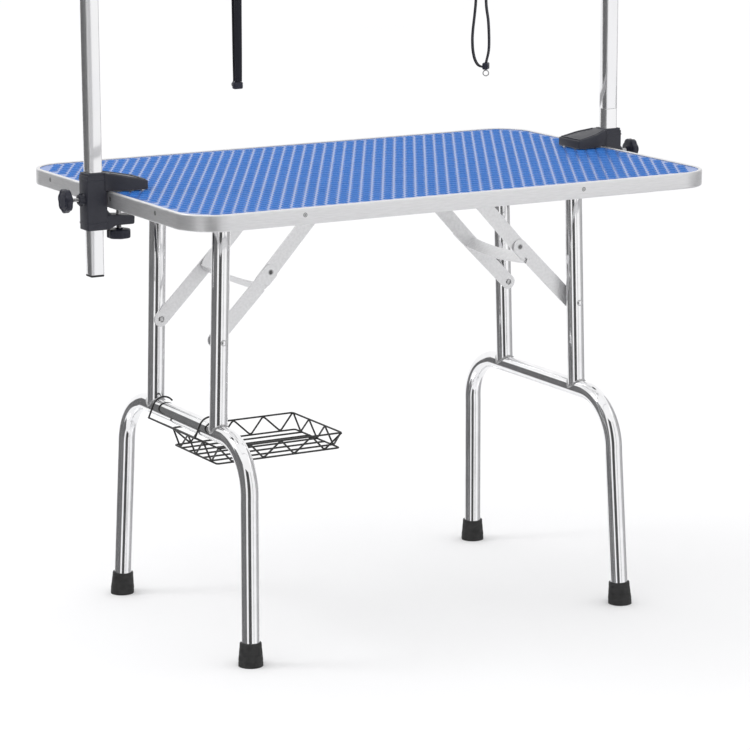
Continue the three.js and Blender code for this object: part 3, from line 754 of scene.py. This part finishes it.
def basket_wires():
    half, depth, top, bottom, inset = (BASKET[key] for key in ("half", "depth", "top", "bottom", "inset"))
    far = inset + depth
    hook_x, hook_z = HOOK
    wires = []
    angles = [math.radians(38 + step * 11.5) for step in range(11)]
    arc = [(19.5 * math.cos(a), 20 * math.sin(a)) for a in angles]
    for y in (-half, half):
        wires.append(smooth_path([(x, y, z) for x, z in arc], 2) + [Vector((hook_x, y, hook_z))])
        wires.append([(hook_x, y * 0.6, hook_z), (inset, y * 0.6, top)])
    wires.append([(hook_x, -half - 1, hook_z), (hook_x, half + 1, hook_z)])
    for z, width in ((top, half), (bottom, half - 8)):
        loop = [
            (inset, 0, z), (inset, -width, z), (far, -width, z),
            (far, width, z), (inset, width, z), (inset, 0.1, z),
        ]
        wires.append(filleted(loop, 5))
    for x in (inset, far):
        teeth = []
        for step in range(7):
            y = -half + step * half / 3
            teeth.append((x, y if step % 2 else y * 0.97, bottom if step % 2 else top))
        wires.append(filleted(teeth, 5))
    for side in (-1, 1):
        teeth = []
        for step in range(9):
            y, z = (half - 8, bottom) if step % 2 else (half, top)
            teeth.append((inset + step * depth / 8, side * y, z))
        wires.append(filleted(teeth, 5))
    for y in (-50, -25, 0, 25, 50):
        wires.append([(inset - 1, y, bottom), (far + 1, y, bottom)])
    return wires


def make_basket():
    lean = math.radians(LEG_LEAN)
    home = shift(-HINGE_X - CROSS_DROP * math.sin(lean), 0, HINGE_Z - CROSS_DROP * math.cos(lean))
    whole = bmesh.new()
    for path in basket_wires():
        absorb(whole, sweep(path, circle(WIRE, 10), (0.3, 0.7, 0.64)))
    piece("basket", [(moved(whole, home), WIRE_PAINT)], "basket", ["wire_basket"], 50)


make_basket()


# ---- Clamps and knobs ----
POST_SIDE = 22
SOCKET = POST_SIDE / 2 + 0.3  # half the clamp's square hole
JAW_SCREW_X, JAW_KNOB_Z = 41, 630
LOCK_SCREW_Z, LOCK_KNOB_X = 693, -51
KNOB_RADIUS = 18.5


def clamp_home(side):
    """Clamps are drawn round the post's axis, with X pointing towards the table."""
    x = -POST_X if side == LEFT else POST_X
    return (turn(0 if side == LEFT else 180, "Z"), shift(x, CLAMP_Y[side]))


def side_prism(outline, from_y, to_y, bevel=0.0, segments=3):
    """An outline in X and Z, raised along Y."""
    bm = prism([(x, -z) for x, z in outline], from_y, to_y, bevel, segments)
    return moved(bm, turn(-90, "X"))


def square_sleeve(outer_low, outer_high, low, high, bevel):
    """A square tube wall round the post, open at both ends."""
    (x0, y0), (x1, y1) = outer_low, outer_high
    bm = bmesh.new()
    rings = []
    for z in (low, high):
        outer = [bm.verts.new((x, y, z)) for x, y in ((x0, y0), (x1, y0), (x1, y1), (x0, y1))]
        corners = ((-SOCKET, -SOCKET), (SOCKET, -SOCKET), (SOCKET, SOCKET), (-SOCKET, SOCKET))
        inner = [bm.verts.new((x, y, z)) for x, y in corners]
        rings.append((outer, inner))
    (outer_a, inner_a), (outer_b, inner_b) = rings
    join_rows(bm, [outer_a, outer_b])
    join_rows(bm, [inner_b, inner_a])
    join_rows(bm, [inner_a, outer_a])
    join_rows(bm, [outer_b, inner_b])
    bmesh.ops.recalc_face_normals(bm, faces=bm.faces[:])
    return bevelled(bm, bevel)


def jaw_mesh():
    """The wedge-shaped upper jaw: flared in plan and falling towards its tip."""
    seat = 705.5
    plan = [(12, 15.5), (16, 19), (42, 31), (77, 31)]
    heights = [(12, 732.5), (18, 731.6), (77, 719)]

    def top_at(x):
        for (xa, za), (xb, zb) in zip(heights, heights[1:]):
            if x <= xb:
                return za + (zb - za) * (x - xa) / (xb - xa)
        return heights[-1][1]

    outline = plan + [(x, -y) for x, y in reversed(plan)]
    bm = bmesh.new()
    bottom = [bm.verts.new((x, y, seat)) for x, y in outline]
    top = [bm.verts.new((x, y, top_at(x))) for x, y in outline]
    join_rows(bm, [bottom, top])
    bm.faces.new(reversed(bottom))
    count = len(plan)
    for index in range(count - 1):
        bm.faces.new((top[index], top[index + 1], top[2 * count - 2 - index], top[2 * count - 1 - index]))
    bmesh.ops.recalc_face_normals(bm, faces=bm.faces[:])
    return bevelled(bm, 1.6, 3)


def jaw_ribs():
    """Low ridges that follow the jaw's edges and leave a sunken panel between them."""
    parts = []
    ridge = [(-1.6, -1), (1.6, -1), (1.2, 0.7), (-1.2, 0.7)]
    for side in (-1, 1):
        line = [(20, side * 15.5, 731.4), (43, side * 26, 726.5), (73, side * 27, 720.1)]
        parts.append(sweep(filleted(line, 6), ridge, (0, 1, 0)))
    parts.append(sweep([(73, -27, 720.1), (73, 27, 720.1)], ridge, (1, 0, 0)))
    return parts


def make_clamp(side):
    home = clamp_home(side)
    lower_jaw = [
        (14, 646), (19, 646), (31, 651.4), (59, 651.4), (61, 653),
        (61.5, 663), (60, 665), (22, 668), (14, 668),
    ]
    parts = [
        square_sleeve((-16.5, -15), (16.2, 15), 646, 729.5, 1.2),
        square_sleeve((-15.0, -14.2), (15.0, 14.2), 729, 733, 0.8),
        square_sleeve((-16.9, -15.6), (16.6, 15.6), 721.5, 724.0, 0.6),
        square_sleeve((-16.9, -15.6), (16.6, 15.6), 655.0, 657.5, 0.6),
        jaw_mesh(),
        side_prism(lower_jaw, -14.5, 14.5, 1.2),
    ]
    parts += jaw_ribs()
    for y in (-11.2, 11.2):
        parts.append(side_prism([(16, 668), (24, 667.6), (16, 677)], y - 1.4, y + 1.4, 0.4))
        parts.append(side_prism([(15, 705.8), (15, 697), (20, 705.8)], y - 1.4, y + 1.4, 0.4))
    boss = lathe([(3.6, 0), (3.6, 8.2), (6.6, 8.2), (7.6, 7.6), (8, 6.4), (8, 2), (9.4, 0), (9.4, -1.5)], 32)
    lugs = [moved(box((7.2, -1.6, -1), (9.6, 1.6, 6.2), 0.6), turn(60 * step, "Z")) for step in range(6)]
    for part in (boss, *lugs):
        moved(part, turn(-90, "Y"), shift(-17.5, 0, LOCK_SCREW_Z))
        parts.append(part)
    done = [(moved(part, *home), CLAMP_BLACK) for part in parts]
    piece(f"{side}_clamp_body", done, "clamps", [f"{side}_clamp"], 32)


def lobed_knob(radius, thickness):
    """Seven lobes with rounded rims, a dished face and a raised middle. Its outer face looks down."""
    levels = [
        (0.0, 0.52), (0.0, 0.60), (0.9, 0.66), (0.6, 0.78), (0.0, 0.88), (0.5, 0.955), (1.6, 1.0),
        (thickness - 2.6, 1.0), (thickness - 1.2, 0.965), (thickness - 0.4, 0.9),
        (thickness, 0.8), (thickness, 0.45),
    ]
    bm = bmesh.new()
    segments = 84
    rows = [[bm.verts.new((0, 0, 0.4))]]
    for height, scale in levels:
        row = []
        for step in range(segments):
            angle = 2 * math.pi * step / segments
            depth = 1.7 * max(scale - 0.55, 0) / 0.45
            reach = radius * scale - depth * (0.5 - 0.5 * math.cos(7 * angle)) ** 1.4
            row.append(bm.verts.new((reach * math.cos(angle), reach * math.sin(angle), height)))
        rows.append(row)
    rows.append([bm.verts.new((0, 0, thickness))])
    join_rows(bm, rows)
    return bm


def threaded_rod(radius, low, high, pitch=1.5):
    profile = [(0, low)]
    height = low
    while height + pitch < high:
        profile += [(radius - 0.45, height), (radius, height + pitch * 0.35), (radius, height + pitch * 0.5)]
        height += pitch
    profile += [(radius - 0.45, height), (radius - 0.45, high), (0, high)]
    return lathe(profile, 20)


def knob_piece(side, kind, knob, neck, rod):
    home = clamp_home(side)
    parts = [(moved(knob, *home), KNOB_BLACK), (moved(neck, *home), KNOB_BLACK), (moved(rod, *home), STEEL)]
    screw = f"{side}_{kind}_screw"
    piece(f"{side}_{kind}_knob", parts, screw, [screw], 42)


def make_knobs(side):
    knob = moved(lobed_knob(KNOB_RADIUS, 13.6), shift(JAW_SCREW_X, 0, JAW_KNOB_Z))
    neck = lathe([(7.4, 643.2), (6.2, 644.2), (5.6, 644.8), (5.2, 645.2), (0, 645.2)], 28)
    rod = threaded_rod(4, 643, 675.1)
    knob_piece(side, "jaw", knob, moved(neck, shift(JAW_SCREW_X)), moved(rod, shift(JAW_SCREW_X)))

    outward = (turn(90, "Y"), shift(LOCK_KNOB_X, 0, LOCK_SCREW_Z))
    knob = moved(lobed_knob(KNOB_RADIUS, 11), *outward)
    neck = moved(lathe([(8, 10.8), (6.8, 11.8), (6, 12.2), (6, 14.6), (5.4, 15), (0, 15)], 28), *outward)
    knob_piece(side, "lock", knob, neck, moved(threaded_rod(3, 10, 37.4), *outward))


# ---- Posts and overhead bar ----
SEAM = {LEFT: 1060, RIGHT: 765}
POST_BOTTOM = {LEFT: 577.5, RIGHT: 632}
POST_TOP = 1447


def square_tube(low, high):
    return prism(rounded_rectangle(POST_SIDE, POST_SIDE, 2.2), low, high, 0.35, 2)


def make_post(side):
    home = shift(-POST_X if side == LEFT else POST_X, CLAMP_Y[side])
    body = "overhead_arm"
    bottom = POST_BOTTOM[side]
    lower = moved(square_tube(bottom, SEAM[side]), home)
    piece(f"{side}_post_foot_section", [(lower, POST_CHROME)], body, [f"{side}_post_lower"])
    upper = moved(square_tube(SEAM[side] + 0.3, POST_TOP), home)
    piece(f"{side}_post_head_section", [(upper, POST_CHROME)], body, [f"{side}_post_upper"])
    plate = prism(rounded_rectangle(POST_SIDE, POST_SIDE, 2.4), bottom - 3.3, bottom - 0.3, 0.9)
    plug = box((-9, -9, bottom - 0.6), (9, 9, bottom + 0.2))
    parts = [(moved(part, home), CAP_BLACK) for part in (plate, plug)]
    piece(f"{side}_post_end_cap", parts, body, [f"{side}_post_cap"])


def make_overhead():
    home = (turn(math.degrees(BAR_SKEW), "Z"), shift(0, BAR_MIDDLE_Y))
    reach = POST_X / math.cos(BAR_SKEW)
    bar = square_tube(8 - reach, reach - 8)
    moved(bar, turn(90, "Y"), shift(0, 0, BAR_Z), *home)
    piece("overhead_rail", [(bar, POST_CHROME)], "overhead_arm", ["overhead_bar"])
    for side in SIDES:
        sign = -1 if side == LEFT else 1
        elbow = [
            (-14.2, BAR_Z - 45.5), (14.2, BAR_Z - 45.5), (14.2, BAR_Z - 14.2), (45.5, BAR_Z - 14.2),
            (45.5, BAR_Z + 14.2), (-6, BAR_Z + 14.2), (-14.2, BAR_Z + 6),
        ]
        core = side_prism(elbow, -14.2, 14.2, 2.0, 4)
        collar = box((-14.5, -14.5, BAR_Z - 46), (14.5, 14.5, BAR_Z - 40), 1.0)
        band = box((40, -14.5, BAR_Z - 14.5), (46, 14.5, BAR_Z + 14.5), 1.0)
        gusset = side_prism([(13, BAR_Z - 13), (30, BAR_Z - 13), (13, BAR_Z - 30)], -3, 3, 0.8)
        screw = lathe([(0, 14.45), (1.6, 14.45), (1.8, 14.2), (3.4, 14.2), (3.8, 13.8)], 24)
        moved(screw, turn(90, "X"), shift(0, 0, BAR_Z))
        own = (turn(0 if side == LEFT else 180, "Z"), shift(sign * reach))
        done = [(moved(part, *own, *home), CAP_BLACK) for part in (core, collar, band, gusset)]
        done.append((moved(screw, shift(sign * reach), *home), STEEL))
        piece(f"{side}_corner_block", done, "overhead_arm", [f"{side}_bar_corner"])


for each_side in SIDES:
    make_clamp(each_side)
    make_knobs(each_side)
    make_post(each_side)
make_overhead()

# ---- CAD nodes that stay, with their own finish. All but the two sheets get softened edges ----
SHEETS = {"table_board": LAMINATE, "rubber_mat": MAT_BLUE}
KEPT = dict(SHEETS)
for each_side in SIDES:
    KEPT[f"{each_side}_hinge_rail"] = ZINC
    KEPT[f"{each_side}_upper_brace"] = ZINC
    KEPT[f"{each_side}_jaw_pad"] = STEEL
    KEPT[f"{each_side}_lock_pad"] = STEEL
    for each_end in ("front", "rear"):
        KEPT[f"{each_side}_{each_end}_lower_link"] = ZINC
        KEPT[f"{each_side}_{each_end}_brace_bracket"] = ZINC
for node_name, node_material in KEPT.items():
    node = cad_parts[node_name]
    node.data.materials.clear()
    node.data.materials.append(node_material)
    if node_name not in SHEETS:
        weld = node.modifiers.new("weld", "WELD")
        weld.merge_threshold = 0.00001
        soften = node.modifiers.new("soften", "BEVEL")
        soften.width = 0.0004
        soften.segments = 2
        soften.limit_method = "ANGLE"
        soften.angle_limit = math.radians(40)
        soften.harden_normals = True

# The top is left out of every reflection, so the posts and legs mirror the studio and not the top.
for top_sheet in (bpy.data.objects["mat_studs"], *(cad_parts[name] for name in SHEETS)):
    top_sheet.visible_glossy = False


# ---- Studio ----
def stage_plane(name, corners, material):
    mesh = bpy.data.meshes.new(name)
    mesh.from_pydata(corners, [], [(0, 1, 2, 3)])
    mesh.materials.append(material)
    obj = bpy.data.objects.new(name, mesh)
    bpy.context.scene.collection.objects.link(obj)
    return obj


def floor_white():
    finish = Finish("floor_white", (0.97, 0.97, 0.975), 0.9)
    finish.color(finish.noise(0.7, 2), [(0.3, grey(0.965)), (0.7, grey(0.98))])
    finish.shader.inputs["Specular IOR Level"].default_value = 0.0
    return finish.material


def flag_paint(name, dark, light):
    finish = Finish(name, grey(light), 1.0)
    finish.color(finish.noise(2.2, 3, (1, 1, 0.05)), [(0.35, grey(dark)), (0.65, grey(light))])
    finish.shader.inputs["Specular IOR Level"].default_value = 0.0
    return finish.material


def mirror():
    finish = Finish("floor_mirror", grey(0.98), 0.0, 1.0)
    finish.color(finish.noise(0.5, 2), [(0.3, grey(0.96)), (0.7, grey(0.99))])
    return finish.material


def seen_in_reflections_only(obj):
    obj.visible_camera = False
    obj.visible_diffuse = False
    obj.visible_shadow = False
    obj.visible_transmission = False


def level_square(reach, height):
    return [(x * reach, y * reach, height) for x, y in ((-1, -1), (1, -1), (1, 1), (-1, 1))]


stage_plane("floor", level_square(40, 0), floor_white())

# Upright panels 4 m from the table's middle, seen only in reflections: a dark one between the table
# and the camera, grey ones to the camera's left and pale ones to its right. A polished sheet on the
# floor, also seen only in reflections, carries the stripes on down to the feet. The panels are placed
# for this one camera. Each lists its start and end in degrees from the camera's heading, and its height.
FLAGS = [
    ("flag_dark", -14, 20, 3.2, flag_paint("flag_dark_paint", 0.05, 0.09)),
    ("flag_grey_near", 40, 84, 3.2, flag_paint("flag_grey_near_paint", 0.13, 0.20)),
    ("flag_grey_far", 84, 128, 1.8, flag_paint("flag_grey_far_paint", 0.13, 0.20)),
    ("flag_pale_near", -44, -36, 3.2, flag_paint("flag_pale_near_paint", 0.34, 0.60)),
    ("flag_pale_far", -140, -80, 3.2, flag_paint("flag_pale_far_paint", 0.34, 0.66)),
]
FLAG_RADIUS = 4.0
CAMERA_HEADING = math.atan2(*CAMERA_PLACE[:2])  # from the table to the camera, measured from +Y to +X
for flag_name, start, end, height, paint in FLAGS:
    points = []
    for heading in (start, end):
        angle = CAMERA_HEADING + math.radians(heading)
        points.append((FLAG_RADIUS * math.sin(angle), FLAG_RADIUS * math.cos(angle)))
    (ax, ay), (bx, by) = points
    seen_in_reflections_only(stage_plane(
        flag_name, [(ax, ay, 0.0), (bx, by, 0.0), (bx, by, height), (ax, ay, height)], paint,
    ))
seen_in_reflections_only(stage_plane("floor_sheet", level_square(6, 0.0004), mirror()))

world = bpy.data.worlds.new("studio")
world.use_nodes = True
background = world.node_tree.nodes["Background"]
background.inputs["Color"].default_value = (1.0, 1.0, 1.0, 1)
background.inputs["Strength"].default_value = 1.035
bpy.context.scene.world = world
bpy.context.scene.view_settings.view_transform = "Standard"


def area_light(name, location, target, size, energy):
    data = bpy.data.lights.new(name, "AREA")
    data.shape = "DISK"
    data.size = size
    data.energy = energy
    light = bpy.data.objects.new(name, data)
    light.location = location
    light.rotation_euler = (Vector(target) - Vector(location)).to_track_quat("-Z", "Y").to_euler()
    bpy.context.scene.collection.objects.link(light)


area_light("key", (-2.2, 1.0, 2.6), (0, 0, 0.2), 1.0, 14)
area_light("fill", (2.6, -1.6, 2.6), (0, 0, 0.6), 2.0, 2)
